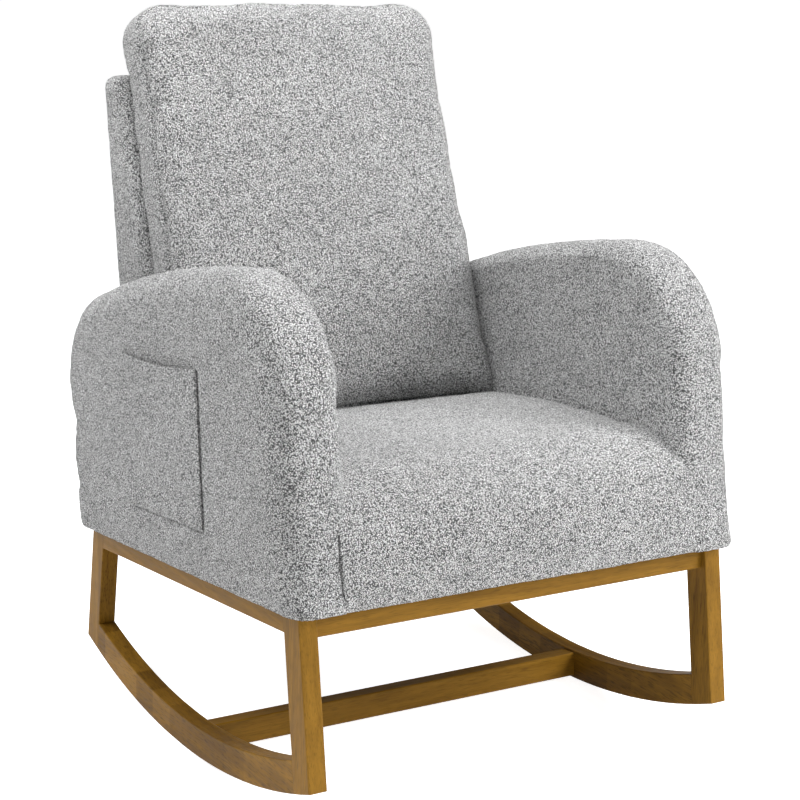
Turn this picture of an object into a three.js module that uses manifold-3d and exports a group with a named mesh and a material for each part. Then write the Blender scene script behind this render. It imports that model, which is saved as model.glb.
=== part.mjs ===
// An upholstered rocking chair on a wooden rocker base.
//
// Millimetres, +Z up. The chair faces -Y; left and right are as seen from the front, so left is -X.
// The pieces are laid out in the chair's own frame, in which the base rails are level, and the whole
// chair is then leaned back on its rockers by REST_TILT. A short flat under each rocker holds it there.
// The origin is at the middle of the bounding box, on the floor.

import * as THREE from 'three';
import { mergeVertices } from 'three/addons/utils/BufferGeometryUtils.js';
import Module from 'manifold-3d';

// Clearances
const GAP = 0.3; // between two pieces that touch
const SEAM = 0.6; // between two upholstered pieces

// Helper solids, which cut or trim the pieces
const OVERSHOOT = 5; // how far a helper reaches sideways past the piece it cuts
const BEYOND = 20; // how far a helper reaches past an open end
const FAR = 600; // well outside the chair
const BELOW_BODY = 40; // how far a rounded outline starts below the body, to be cut level

// Wooden base
const FRAME_HALF = 330; // outer face of the side frames, from the middle of the chair
const FRAME_TOP = 262; // top of the rails
const STOCK = 26; // thickness of the side frames
const FRAME_FRONT = -327; // front of the front legs, at FRAME_TOP
const FRAME_REAR = 327; // back of the rear legs, at FRAME_TOP
const FRONT_LEG_DEPTH = 42;
const REAR_LEG_DEPTH = 41;
const FRONT_SPLAY = 0.056; // how far a front leg goes forward for each millimetre down
const REAR_SPLAY = 0.253; // how far a rear leg goes back for each millimetre down
const SIDE_RAIL_HEIGHT = 26;
const CROSS_RAIL_HEIGHT = 30;
const CROSS_RAIL_DEPTH = 24;
const CROSS_RAIL_RECESS = 9; // behind the outer faces of the legs
const EASED_EDGE = 1.6; // rounding of the wood's edges
const FRAME_INNER = FRAME_HALF - STOCK;
const CORNER_BLOCK = 48; // length of a corner block's two short sides
const CORNER_BLOCK_MARGIN = 2; // between a corner block and the top and bottom of the rails
const ROCKER_RAIL_SPLIT = 180; // a height inside the open middle of a side frame

// Rockers
const ROCKER_RADIUS = 1040;
const ROCKER_CENTRE_Y = -47;
const ROCKER_HEIGHT = 43;
const FACET_ANGLE = THREE.MathUtils.degToRad(1.5);
const REST_FLAT = 52; // length of the flat that the chair stands on when it is still
const REST_TILT = THREE.MathUtils.degToRad(6);
const REST_FLAT_ANGLE = 2 * Math.asin(REST_FLAT / 2 / ROCKER_RADIUS);

// Stretcher between the rockers
const STRETCHER_FRONT = -16;
const STRETCHER_REAR = 13;
const STRETCHER_BOTTOM = 5;
const STRETCHER_TOP = 41;

// Upholstered body
const BODY_BOTTOM = FRAME_TOP + GAP;
const BODY_FRONT = -353; // front of the arms, at FRAME_TOP
const BODY_REAR = 354; // back of the arms, at FRAME_TOP
const BODY_LEAN = 0.058; // front and back of the body lean back by this for each millimetre up
const BODY_FOOT = 18; // rounding of the body's lower front and rear edges
const ARM_HEM = 10; // rounding of an arm's lower edges along its sides

// Arms
const ARM_OUTER = 342;
const ARM_INNER = 256;
const ARM_EDGE = 26; // rounding of the padded edges
const ARM_PADDING = 17;
const ARM_TOP = 680;
const ARM_FRONT_RADIUS = 170;
const ARM_CREST_RADIUS = 1650;
const ARM_REAR_RADIUS = 128;
const ARM_FRAME_WALL = 22;

// Side pockets
const POCKET_FRONT = -113;
const POCKET_REAR = 122;
const POCKET_BOTTOM = 335;
const POCKET_TOP = 549;
const POCKET_SAG = 5;
const POCKET_DEPTH = 9.4;
const POCKET_CLOTH = 3;
const POCKET_HEM = 8;

// Seat
const SEAT_HALF = ARM_INNER - SEAM;
const SEAT_FRONT = -350;
const SEAT_REAR = 206;
const SEAT_UNDERSIDE = 325;
const SEAT_NOSE = { y: -225, z: 360, depth: 118, height: 64 };
const SEAT_CROWN = 434;
const SEAT_REAR_TOP = 419;
const SEAT_APRON = 26; // padding in front of the seat's frame
const SEAT_FRAME_SLACK = 3; // between that padding and the frame

// Seat frame and webbing
const SEAT_RAIL = 22;
const SEAT_RAIL_BOTTOM = 265;
const SEAT_RAIL_TOP = 320;
const SEAT_FRAME_HALF = 256;
const STRAP_COUNT = 5;
const STRAP_WIDTH = 50;
const STRAP_PITCH = 90;
const STRAP_THICKNESS = 2;
const LINING = 1.2; // thickness of the cloth that closes the underside

// Back
const BACK_LEAN = 0.252; // how far the back goes back for each millimetre up
const CUSHION_BOTTOM = 424;
const CUSHION_TOP = 1030;
const CUSHION_FRONT = 121; // front of the back cushion, at CUSHION_BOTTOM
const CUSHION_THICKNESS = 84;
const CUSHION_HALF_BOTTOM = 254;
const CUSHION_HALF_TOP = 248;
const CUSHION_EDGE = 24;
const CUSHION_CORNER = 45;
const CUSHION_WALL = 10;
const OUTER_BACK_TOP = 932;
const OUTER_BACK_HALF = ARM_INNER - SEAM;
const OUTER_BACK_EDGE = 18;
const OUTER_BACK_PADDING = 8;
const BACK_TIMBER = 26; // depth of the uprights and of the rails between them
const BACK_TIMBER_WIDTH = 34;
const BACK_RAIL_HEIGHT = 60;
const BACK_FRAME_SLACK = 3; // between the timber and its padding

// Bolts
const BOLT_RADIUS = 4;
const BOLT_HEAD_RADIUS = 7;
const BOLT_HEAD_HEIGHT = 5;

const wasm = await Module();
wasm.setup();

// --- solids ------------------------------------------------------------------------------------

function toSolid(geometry) {
  const bare = geometry.clone();
  bare.deleteAttribute('normal');
  bare.deleteAttribute('uv');
  const merged = mergeVertices(bare.index ? bare.toNonIndexed() : bare, 1e-3);
  return new wasm.Manifold(new wasm.Mesh({
    numProp: 3,
    vertProperties: new Float32Array(merged.attributes.position.array),
    triVerts: new Uint32Array(merged.index.array),
  }));
}

function toGeometry(solid) {
  const mesh = solid.getMesh();
  const geometry = new THREE.BufferGeometry();
  geometry.setAttribute('position', new THREE.BufferAttribute(mesh.vertProperties, 3));
  geometry.setIndex(new THREE.BufferAttribute(mesh.triVerts, 1));
  geometry.computeVertexNormals();
  return geometry;
}

function cut(geometry, ...tools) {
  const rest = tools.reduce((solid, tool) => solid.subtract(toSolid(tool)), toSolid(geometry));
  return toGeometry(rest);
}

function join(geometry, ...others) {
  return toGeometry(others.reduce((solid, other) => solid.add(toSolid(other)), toSolid(geometry)));
}

function common(geometry, other) {
  return toGeometry(toSolid(geometry).intersect(toSolid(other)));
}

function box(x0, x1, y0, y1, z0, z1) {
  const geometry = new THREE.BoxGeometry(x1 - x0, y1 - y0, z1 - z0);
  return geometry.translate((x0 + x1) / 2, (y0 + y1) / 2, (z0 + z1) / 2);
}

// Extrudes a shape and rounds its rim by `round`, inside the shape's own outline.
function extrude(shape, length, round = 0, rings = 2, curveSegments = 12) {
  const geometry = new THREE.ExtrudeGeometry(shape, {
    depth: length - 2 * round,
    curveSegments,
    bevelEnabled: round > 0,
    bevelThickness: round,
    bevelSize: round,
    bevelOffset: -round,
    bevelSegments: rings,
  });
  return geometry.translate(0, 0, round);
}

const TO_SIDE = new THREE.Matrix4().makeBasis(
  new THREE.Vector3(0, 1, 0), new THREE.Vector3(0, 0, 1), new THREE.Vector3(1, 0, 0));
const TO_FRONT = new THREE.Matrix4().makeBasis(
  new THREE.Vector3(1, 0, 0), new THREE.Vector3(0, 0, 1), new THREE.Vector3(0, -1, 0));

// A side view (y, z), extruded along X from x0 to x1.
function sideExtrude(shape, x0, x1, round, rings, curveSegments) {
  return extrude(shape, x1 - x0, round, rings, curveSegments).applyMatrix4(TO_SIDE).translate(x0, 0, 0);
}

// A front view (x, z), extruded along Y from y0 to y1.
function frontExtrude(shape, y0, y1, round, rings, curveSegments) {
  return extrude(shape, y1 - y0, round, rings, curveSegments).applyMatrix4(TO_FRONT).translate(0, y1, 0);
}

function polygon(points) {
  return new THREE.Shape(points.map(([u, v]) => new THREE.Vector2(u, v)));
}

// A rectangle with its corners taken off, so that a bar extruded from it has eased edges.
function easedRectangle(u0, u1, v0, v1, ease = EASED_EDGE) {
  return polygon([
    [u0 + ease, v0], [u1 - ease, v0], [u1, v0 + ease], [u1, v1 - ease],
    [u1 - ease, v1], [u0 + ease, v1], [u0, v1 - ease], [u0, v0 + ease],
  ]);
}

// A bolt along +Z with its head at the bottom and its tip at z = length.
function boltAlongZ(length) {
  const profile = [
    [0, 0], [BOLT_HEAD_RADIUS, 0], [BOLT_HEAD_RADIUS, BOLT_HEAD_HEIGHT],
    [BOLT_RADIUS, BOLT_HEAD_HEIGHT], [BOLT_RADIUS, length], [0, length],
  ];
  const geometry = new THREE.LatheGeometry(profile.map(([r, h]) => new THREE.Vector2(r, h)), 12);
  return geometry.rotateX(Math.PI / 2);
}

// The hole that boltAlongZ needs, a little wider all round and open below the head.
function boltHoleAlongZ(length) {
  const head = new THREE.CylinderGeometry(
    BOLT_HEAD_RADIUS + GAP, BOLT_HEAD_RADIUS + GAP, BOLT_HEAD_HEIGHT + GAP + 10, 12);
  const shank = new THREE.CylinderGeometry(BOLT_RADIUS + GAP, BOLT_RADIUS + GAP, length + GAP, 12);
  head.rotateX(Math.PI / 2).translate(0, 0, (BOLT_HEAD_HEIGHT + GAP - 10) / 2);
  shank.rotateX(Math.PI / 2).translate(0, 0, (length + GAP) / 2);
  return join(head, shank);
}

// --- the group ---------------------------------------------------------------------------------

const chair = new THREE.Group();
const leaned = new THREE.Group();
chair.add(leaned);

const FINISHES = {
  wood: { color: 0x96703f, roughness: 0.42, metalness: 0 },
  hidden_wood: { color: 0xb99a6b, roughness: 0.8, metalness: 0 },
  fabric: { color: 0xb9b8b8, roughness: 0.95, metalness: 0 },
  webbing: { color: 0x2c2b2a, roughness: 0.9, metalness: 0 },
  lining: { color: 0x1d1d1f, roughness: 0.95, metalness: 0 },
  steel: { color: 0x8f9194, roughness: 0.35, metalness: 0.9 },
};

function add(name, geometry, finish) {
  const mesh = new THREE.Mesh(geometry, new THREE.MeshStandardMaterial(FINISHES[finish]));
  mesh.name = name;
  leaned.add(mesh);
}

const SIDES = [{ name: 'left', sign: -1 }, { name: 'right', sign: 1 }];

// The x range from a to b, with b further from the middle, on one side of the chair.
function span(sign, a, b) {
  return sign < 0 ? [-b, -a] : [a, b];
}

// --- wooden base -------------------------------------------------------------------------------

function onRocker(angle, radius) {
  return [ROCKER_CENTRE_Y + radius * Math.sin(angle), ROCKER_RADIUS - radius * Math.cos(angle)];
}

const frontLegFace = (z) => FRAME_FRONT - FRONT_SPLAY * (FRAME_TOP - z);
const rearLegFace = (z) => FRAME_REAR + REAR_SPLAY * (FRAME_TOP - z);
const frontLegInside = (z) => frontLegFace(z) + FRONT_LEG_DEPTH;
const rearLegInside = (z) => rearLegFace(z) - REAR_LEG_DEPTH;

// The angle on a rocker's curve of this radius at which it meets a leg's edge.
function angleAtEdge(edge, radius) {
  let angle = 0;
  for (let i = 0; i < 20; i += 1) {
    const z = ROCKER_RADIUS - radius * Math.cos(angle);
    angle = Math.asin((edge(z) - ROCKER_CENTRE_Y) / radius);
  }
  return angle;
}

// Points along the curve from one edge to the other. The flat is level when the chair is at rest.
function rockerCurve(radius, frontEdge, rearEdge) {
  const start = angleAtEdge(frontEdge, radius);
  const end = angleAtEdge(rearEdge, radius);
  const flatStart = REST_TILT - REST_FLAT_ANGLE / 2;
  const flatEnd = REST_TILT + REST_FLAT_ANGLE / 2;
  const before = Math.ceil((flatStart - start) / FACET_ANGLE);
  const after = Math.ceil((end - flatEnd) / FACET_ANGLE);
  const points = [];
  for (let i = 0; i <= before; i += 1) {
    points.push(onRocker(THREE.MathUtils.lerp(start, flatStart, i / before), radius));
  }
  for (let i = 0; i <= after; i += 1) {
    points.push(onRocker(THREE.MathUtils.lerp(flatEnd, end, i / after), radius));
  }
  return points;
}

// Legs, rail and rocker of one side are sanded as one flat ring, and each piece is its share of it.
function sideRingShape() {
  const shape = polygon([
    ...rockerCurve(ROCKER_RADIUS, frontLegFace, rearLegFace),
    [FRAME_REAR, FRAME_TOP],
    [FRAME_FRONT, FRAME_TOP],
  ]);
  const railBottom = FRAME_TOP - SIDE_RAIL_HEIGHT;
  const opening = [
    ...rockerCurve(ROCKER_RADIUS - ROCKER_HEIGHT, frontLegInside, rearLegInside),
    [rearLegInside(railBottom), railBottom],
    [frontLegInside(railBottom), railBottom],
  ];
  shape.holes.push(new THREE.Path(opening.map(([y, z]) => new THREE.Vector2(y, z))));
  return shape;
}

// The region between two slanted edges, from z0 to z1.
function region(frontEdge, rearEdge, z0, z1) {
  return polygon([[frontEdge(z0), z0], [rearEdge(z0), z0], [rearEdge(z1), z1], [frontEdge(z1), z1]]);
}

const CROSS_FRONT_Y = frontLegFace(FRAME_TOP - CROSS_RAIL_HEIGHT / 2) + CROSS_RAIL_RECESS;
const CROSS_REAR_Y = rearLegFace(FRAME_TOP - CROSS_RAIL_HEIGHT / 2) - CROSS_RAIL_RECESS;
const CROSS_RAIL_BOTTOM = FRAME_TOP - CROSS_RAIL_HEIGHT;
const TENON = 12; // how far a side frame's tenon goes into its mortise
const CROSS_TENON = 11; // the same for the bars across the chair
const TENON_THICKNESS = 10;
const TENON_ROOT = 4; // how far a tenon's block runs back into its own piece
const SIDE_TENON_MARGIN = 6; // wood above and below a side rail's tenon
const CROSS_TENON_FRONT = 6; // from a cross rail's outer face to the near face of its tenon
const CROSS_TENON_REAR = 15; // and to the far face
const CROSS_TENON_LIFT = 7; // wood below a cross rail's tenon
const CROSS_TENON_DROP = 6; // and above it
const STRETCHER_TENON_DEPTH_MARGIN = 7;
const STRETCHER_TENON_HEIGHT_MARGIN = 8;
const ROCKER_TENON_SHIFT = 2; // moves the tenon's middle into the leg

// A box that sticks `TENON` into its neighbour, or its mortise when grown by GAP.
function sideRailTenon(mid, edge, direction, grow) {
  const y = edge(FRAME_TOP - SIDE_RAIL_HEIGHT / 2);
  const reach = direction * (TENON + grow);
  const back = direction * -TENON_ROOT;
  return box(
    mid - TENON_THICKNESS / 2 - grow, mid + TENON_THICKNESS / 2 + grow,
    Math.min(y + reach, y + back), Math.max(y + reach, y + back),
    FRAME_TOP - SIDE_RAIL_HEIGHT + SIDE_TENON_MARGIN - grow, FRAME_TOP - SIDE_TENON_MARGIN + grow);
}

function rockerTenon(mid, edge, direction, grow) {
  const middle = ROCKER_RADIUS - ROCKER_HEIGHT / 2;
  const angle = angleAtEdge(edge, middle);
  const [y, z] = onRocker(angle, middle);
  const length = 2 * (TENON + grow);
  const tenon = new THREE.BoxGeometry(TENON_THICKNESS + 2 * grow, length, ROCKER_HEIGHT / 2 + 2 * grow);
  return tenon.rotateX(angle).translate(mid, y + direction * ROCKER_TENON_SHIFT, z);
}

function crossRailTenon(sign, y0, y1, z0, z1, grow) {
  const [x0, x1] = span(sign, FRAME_INNER - TENON_ROOT, FRAME_INNER + CROSS_TENON + grow);
  return box(x0, x1, y0 - grow, y1 + grow, z0 - grow, z1 + grow);
}

const frontRailTenon = (sign, grow) => crossRailTenon(
  sign, CROSS_FRONT_Y + CROSS_TENON_FRONT, CROSS_FRONT_Y + CROSS_TENON_REAR,
  CROSS_RAIL_BOTTOM + CROSS_TENON_LIFT, FRAME_TOP - CROSS_TENON_DROP, grow);
const rearRailTenon = (sign, grow) => crossRailTenon(
  sign, CROSS_REAR_Y - CROSS_TENON_REAR, CROSS_REAR_Y - CROSS_TENON_FRONT,
  CROSS_RAIL_BOTTOM + CROSS_TENON_LIFT, FRAME_TOP - CROSS_TENON_DROP, grow);
const stretcherTenon = (sign, grow) => crossRailTenon(
  sign, STRETCHER_FRONT + STRETCHER_TENON_DEPTH_MARGIN, STRETCHER_REAR - STRETCHER_TENON_DEPTH_MARGIN,
  STRETCHER_BOTTOM + STRETCHER_TENON_HEIGHT_MARGIN, STRETCHER_TOP - STRETCHER_TENON_HEIGHT_MARGIN, grow);

const BASE_BOLT_Y = [-225, 225];
const BASE_BOLT_X = 313;
const BASE_BOLT_LENGTH = 48;
const BASE_BOLT_Z = FRAME_TOP - SIDE_RAIL_HEIGHT + 1;

function baseBolt(sign, y) {
  return boltAlongZ(BASE_BOLT_LENGTH).translate(sign * BASE_BOLT_X, y, BASE_BOLT_Z);
}

function baseBoltHole(sign, y) {
  return boltHoleAlongZ(BASE_BOLT_LENGTH).translate(sign * BASE_BOLT_X, y, BASE_BOLT_Z);
}

function addSideFrame({ name, sign }) {
  const [x0, x1] = span(sign, FRAME_INNER, FRAME_HALF);
  const mid = (x0 + x1) / 2;
  const ring = sideExtrude(sideRingShape(), x0, x1, EASED_EDGE, 2);
  const share = (shape) => common(ring, sideExtrude(shape, x0 - OVERSHOOT, x1 + OVERSHOOT));
  const low = -BEYOND;
  const split = ROCKER_RAIL_SPLIT;
  const high = FRAME_TOP + BEYOND;
  const joint = GAP / 2;
  const afterFront = (z) => frontLegInside(z) + joint;
  const beforeRear = (z) => rearLegInside(z) - joint;

  const frontLeg = share(region(() => -FAR, (z) => frontLegInside(z) - joint, low, high));
  add(`${name}_front_leg`, cut(
    frontLeg,
    sideRailTenon(mid, frontLegInside, -1, GAP),
    rockerTenon(mid, frontLegInside, -1, GAP),
    frontRailTenon(sign, GAP)), 'wood');

  const rearLeg = share(region((z) => rearLegInside(z) + joint, () => FAR, low, high));
  add(`${name}_rear_leg`, cut(
    rearLeg,
    sideRailTenon(mid, rearLegInside, 1, GAP),
    rockerTenon(mid, rearLegInside, 1, GAP),
    rearRailTenon(sign, GAP)), 'wood');

  const rail = join(
    share(region(afterFront, beforeRear, split, high)),
    sideRailTenon(mid, frontLegInside, -1, 0),
    sideRailTenon(mid, rearLegInside, 1, 0));
  add(`${name}_side_rail`, cut(rail, ...BASE_BOLT_Y.map((y) => baseBoltHole(sign, y))), 'wood');

  const rocker = join(
    share(region(afterFront, beforeRear, low, split)),
    rockerTenon(mid, frontLegInside, -1, 0),
    rockerTenon(mid, rearLegInside, 1, 0));
  add(`${name}_rocker`, cut(rocker, stretcherTenon(sign, GAP)), 'wood');

  BASE_BOLT_Y.forEach((y, i) => {
    add(`${name}_base_bolt_${i + 1}`, baseBolt(sign, y), 'steel');
  });
}

// A bar across the chair between the two side frames, with a tenon on each end.
function crossBar(y0, y1, z0, z1, tenon) {
  const bar = sideExtrude(easedRectangle(y0, y1, z0, z1), -FRAME_INNER + GAP, FRAME_INNER - GAP);
  return join(bar, tenon(-1, 0), tenon(1, 0));
}

function addCornerBlocks() {
  const rows = [
    { place: 'front', y: CROSS_FRONT_Y + CROSS_RAIL_DEPTH + GAP, inwards: 1 },
    { place: 'rear', y: CROSS_REAR_Y - CROSS_RAIL_DEPTH - GAP, inwards: -1 },
  ];
  for (const { place, y, inwards } of rows) {
    for (const { name, sign } of SIDES) {
      const x = sign * (FRAME_INNER - GAP);
      const corners = [[x, y], [x - sign * CORNER_BLOCK, y], [x, y + inwards * CORNER_BLOCK]];
      if (sign * inwards > 0) {
        corners.reverse();
      }
      const block = extrude(polygon(corners), SIDE_RAIL_HEIGHT - 2 * CORNER_BLOCK_MARGIN);
      const bottom = FRAME_TOP - SIDE_RAIL_HEIGHT + CORNER_BLOCK_MARGIN;
      add(`${place}_${name}_corner_block`, block.translate(0, 0, bottom), 'wood');
    }
  }
}

function addBase() {
  SIDES.forEach(addSideFrame);
  add('front_rail', crossBar(
    CROSS_FRONT_Y, CROSS_FRONT_Y + CROSS_RAIL_DEPTH, CROSS_RAIL_BOTTOM, FRAME_TOP, frontRailTenon), 'wood');
  add('rear_rail', crossBar(
    CROSS_REAR_Y - CROSS_RAIL_DEPTH, CROSS_REAR_Y, CROSS_RAIL_BOTTOM, FRAME_TOP, rearRailTenon), 'wood');
  add('stretcher', crossBar(
    STRETCHER_FRONT, STRETCHER_REAR, STRETCHER_BOTTOM, STRETCHER_TOP, stretcherTenon), 'wood');
  addCornerBlocks();
}

// --- arms --------------------------------------------------------------------------------------

const bodyFront = (z) => BODY_FRONT + BODY_LEAN * (z - FRAME_TOP);
const bodyRear = (z) => BODY_REAR + BODY_LEAN * (z - FRAME_TOP);

// Side view of an arm: upright front, a round front corner, a long falling crest, a round rear corner.
// Its two lower corners are rounded by `foot`.
function armShape(inset, bottom, foot = 0) {
  const frontRadius = ARM_FRONT_RADIUS - inset;
  const frontCentreZ = ARM_TOP - ARM_FRONT_RADIUS;
  const frontCentreY = bodyFront(frontCentreZ) + ARM_FRONT_RADIUS;
  const crestCentreZ = ARM_TOP - ARM_CREST_RADIUS;
  const rearRadius = ARM_REAR_RADIUS - inset;
  const reach = ARM_CREST_RADIUS - ARM_REAR_RADIUS;
  const rearCentreY = bodyRear(ARM_TOP - ARM_FRONT_RADIUS) - ARM_REAR_RADIUS;
  const crestEnd = Math.acos((rearCentreY - frontCentreY) / reach);
  const rearCentreZ = crestCentreZ + reach * Math.sin(crestEnd);

  const shape = new THREE.Shape();
  const front = bodyFront(bottom) + inset;
  const rear = bodyRear(bottom) - inset;
  shape.moveTo(front, bottom + foot);
  shape.quadraticCurveTo(front, bottom, front + foot, bottom);
  shape.lineTo(rear - foot, bottom);
  shape.quadraticCurveTo(rear, bottom, rear, bottom + foot);
  shape.lineTo(rearCentreY + rearRadius, rearCentreZ);
  shape.absarc(rearCentreY, rearCentreZ, rearRadius, 0, crestEnd, false);
  shape.absarc(frontCentreY, crestCentreZ, ARM_CREST_RADIUS - inset, crestEnd, Math.PI / 2, false);
  shape.absarc(frontCentreY, frontCentreZ, frontRadius, Math.PI / 2, Math.PI, false);
  return shape;
}

const ARM_BOLT_Y = [-220, 120];
const ARM_BOLT_Z = 292;
const ARM_BOLT_START = SEAT_FRAME_HALF - SEAT_RAIL - BOLT_HEAD_HEIGHT - GAP;
const ARM_BOLT_LENGTH = 56;

function alongX(geometry, sign, y) {
  return geometry.rotateY(sign * Math.PI / 2).translate(sign * ARM_BOLT_START, y, ARM_BOLT_Z);
}

// The pocket is a patch of cloth with its sides and bottom sewn to the arm, open at the top.
function pocketGeometry(sign) {
  const [x0, x1] = span(sign, ARM_OUTER + GAP, ARM_OUTER + POCKET_DEPTH);
  const middle = (POCKET_FRONT + POCKET_REAR) / 2;
  const patch = new THREE.Shape();
  patch.moveTo(POCKET_FRONT, POCKET_BOTTOM);
  patch.lineTo(POCKET_REAR, POCKET_BOTTOM);
  patch.lineTo(POCKET_REAR, POCKET_TOP);
  patch.quadraticCurveTo(middle, POCKET_TOP - 2 * POCKET_SAG, POCKET_FRONT, POCKET_TOP);
  const [h0, h1] = span(sign, ARM_OUTER - OVERSHOOT, ARM_OUTER + POCKET_DEPTH - POCKET_CLOTH);
  const room = box(
    h0, h1, POCKET_FRONT + POCKET_HEM, POCKET_REAR - POCKET_HEM,
    POCKET_BOTTOM + POCKET_HEM, POCKET_TOP + BEYOND);
  return cut(sideExtrude(patch, x0, x1, 0, 0, 8), room);
}

function addArm({ name, sign }) {
  const [x0, x1] = span(sign, ARM_INNER, ARM_OUTER);
  const [f0, f1] = span(sign, ARM_INNER + ARM_PADDING, ARM_OUTER - ARM_PADDING);
  const below = BODY_BOTTOM - BELOW_BODY;
  const footed = sideExtrude(armShape(0, BODY_BOTTOM, BODY_FOOT), x0, x1, ARM_HEM, 2, 10);
  const padded = common(sideExtrude(armShape(0, below), x0, x1, ARM_EDGE, 4, 10), footed);
  const room = sideExtrude(armShape(ARM_PADDING - GAP, below), f0 - GAP, f1 + GAP, 0, 0, 8);
  const holes = ARM_BOLT_Y.map((y) => alongX(boltHoleAlongZ(ARM_BOLT_LENGTH), sign, y));
  add(`${name}_arm`, cut(padded, room, ...holes), 'fabric');

  const frameBottom = BODY_BOTTOM + GAP;
  const frameOutside = common(
    sideExtrude(armShape(ARM_PADDING, below), f0, f1, 0, 0, 8),
    box(f0 - OVERSHOOT, f1 + OVERSHOOT, -FAR, FAR, frameBottom, ARM_TOP));
  const inside = sideExtrude(
    armShape(ARM_PADDING + ARM_FRAME_WALL, frameBottom + 2 * ARM_FRAME_WALL),
    f0 - OVERSHOOT, f1 + OVERSHOOT, 0, 0, 8);
  const baseHoles = BASE_BOLT_Y.map((y) => baseBoltHole(sign, y));
  add(`${name}_arm_frame`, cut(frameOutside, inside, ...holes, ...baseHoles), 'hidden_wood');

  ARM_BOLT_Y.forEach((y, i) => {
    add(`${name}_arm_bolt_${i + 1}`, alongX(boltAlongZ(ARM_BOLT_LENGTH), sign, y), 'steel');
  });
  add(`${name}_pocket`, pocketGeometry(sign), 'fabric');
}

// --- seat --------------------------------------------------------------------------------------

const SEAT_FRAME_FRONT = SEAT_FRONT + SEAT_APRON + SEAT_FRAME_SLACK;
const SEAT_FRAME_REAR = SEAT_REAR - 4;

function addSeat() {
  const { y, z, depth, height } = SEAT_NOSE;
  const apronInside = SEAT_FRONT + SEAT_APRON;
  const side = new THREE.Shape();
  side.moveTo(SEAT_FRONT, BODY_BOTTOM + BODY_FOOT / 2);
  side.quadraticCurveTo(SEAT_FRONT, BODY_BOTTOM, SEAT_FRONT + BODY_FOOT / 2, BODY_BOTTOM);
  side.lineTo(apronInside, BODY_BOTTOM);
  side.lineTo(apronInside, SEAT_UNDERSIDE);
  side.lineTo(SEAT_REAR - SEAM, SEAT_UNDERSIDE);
  side.lineTo(SEAT_REAR - SEAM, SEAT_REAR_TOP);
  side.quadraticCurveTo(-20, 2 * SEAT_CROWN - SEAT_REAR_TOP, y, z + height);
  side.absellipse(y, z, depth, height, Math.PI / 2, Math.PI, false);
  add('seat_cushion', sideExtrude(side, -SEAT_HALF, SEAT_HALF, 3, 1, 10), 'fabric');

  const rail = (x0, x1, y0, y1) => box(x0, x1, y0, y1, SEAT_RAIL_BOTTOM, SEAT_RAIL_TOP);
  const inner = SEAT_FRAME_HALF - SEAT_RAIL;
  for (const { name, sign } of SIDES) {
    const [x0, x1] = span(sign, inner, SEAT_FRAME_HALF);
    const holes = ARM_BOLT_Y.map((boltY) => alongX(boltHoleAlongZ(ARM_BOLT_LENGTH), sign, boltY));
    add(`seat_${name}_rail`, cut(rail(x0, x1, SEAT_FRAME_FRONT, SEAT_FRAME_REAR), ...holes), 'hidden_wood');
  }
  const backHoles = SIDES.map(({ sign }) => backBoltHole(sign));
  add('seat_front_rail', rail(
    -inner + GAP, inner - GAP, SEAT_FRAME_FRONT, SEAT_FRAME_FRONT + SEAT_RAIL), 'hidden_wood');
  const rearRail = rail(-inner + GAP, inner - GAP, SEAT_FRAME_REAR - SEAT_RAIL, SEAT_FRAME_REAR);
  add('seat_rear_rail', cut(rearRail, ...backHoles), 'hidden_wood');

  for (let i = 0; i < STRAP_COUNT; i += 1) {
    const x = (i - (STRAP_COUNT - 1) / 2) * STRAP_PITCH;
    const bottom = SEAT_RAIL_TOP + GAP;
    add(`webbing_strap_${i + 1}`, box(
      x - STRAP_WIDTH / 2, x + STRAP_WIDTH / 2, SEAT_FRAME_FRONT, SEAT_FRAME_REAR,
      bottom, bottom + STRAP_THICKNESS), 'webbing');
  }
  add('seat_dust_cover', box(
    -SEAT_FRAME_HALF, SEAT_FRAME_HALF, SEAT_FRAME_FRONT, SEAT_FRAME_REAR,
    SEAT_RAIL_BOTTOM - GAP - LINING, SEAT_RAIL_BOTTOM - GAP), 'lining');
}

// --- back --------------------------------------------------------------------------------------

const cushionRear = (z) => CUSHION_FRONT + CUSHION_THICKNESS + BACK_LEAN * (z - CUSHION_BOTTOM);

// Side view of the outer back: it leans with the cushion in front and stands nearly upright behind.
function outerBackShape(inset, bottom) {
  const top = OUTER_BACK_TOP - inset;
  const front = (z) => Math.max(cushionRear(z), SEAT_REAR) + SEAM + inset;
  return polygon([
    [front(bottom), bottom],
    [bodyRear(bottom) - inset, bottom],
    [bodyRear(top) - inset, top],
    [front(top), top],
    [front(CUSHION_BOTTOM), CUSHION_BOTTOM],
  ]);
}

const BACK_BOLT_X = 120;
const BACK_BOLT_Z = 292;
const BACK_BOLT_START = SEAT_FRAME_REAR - SEAT_RAIL - BOLT_HEAD_HEIGHT - GAP;
const BACK_BOLT_LENGTH = 66;

function alongY(geometry, sign) {
  return geometry.rotateX(-Math.PI / 2).translate(sign * BACK_BOLT_X, BACK_BOLT_START, BACK_BOLT_Z);
}

function backBoltHole(sign) {
  return alongY(boltHoleAlongZ(BACK_BOLT_LENGTH), sign);
}

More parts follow.
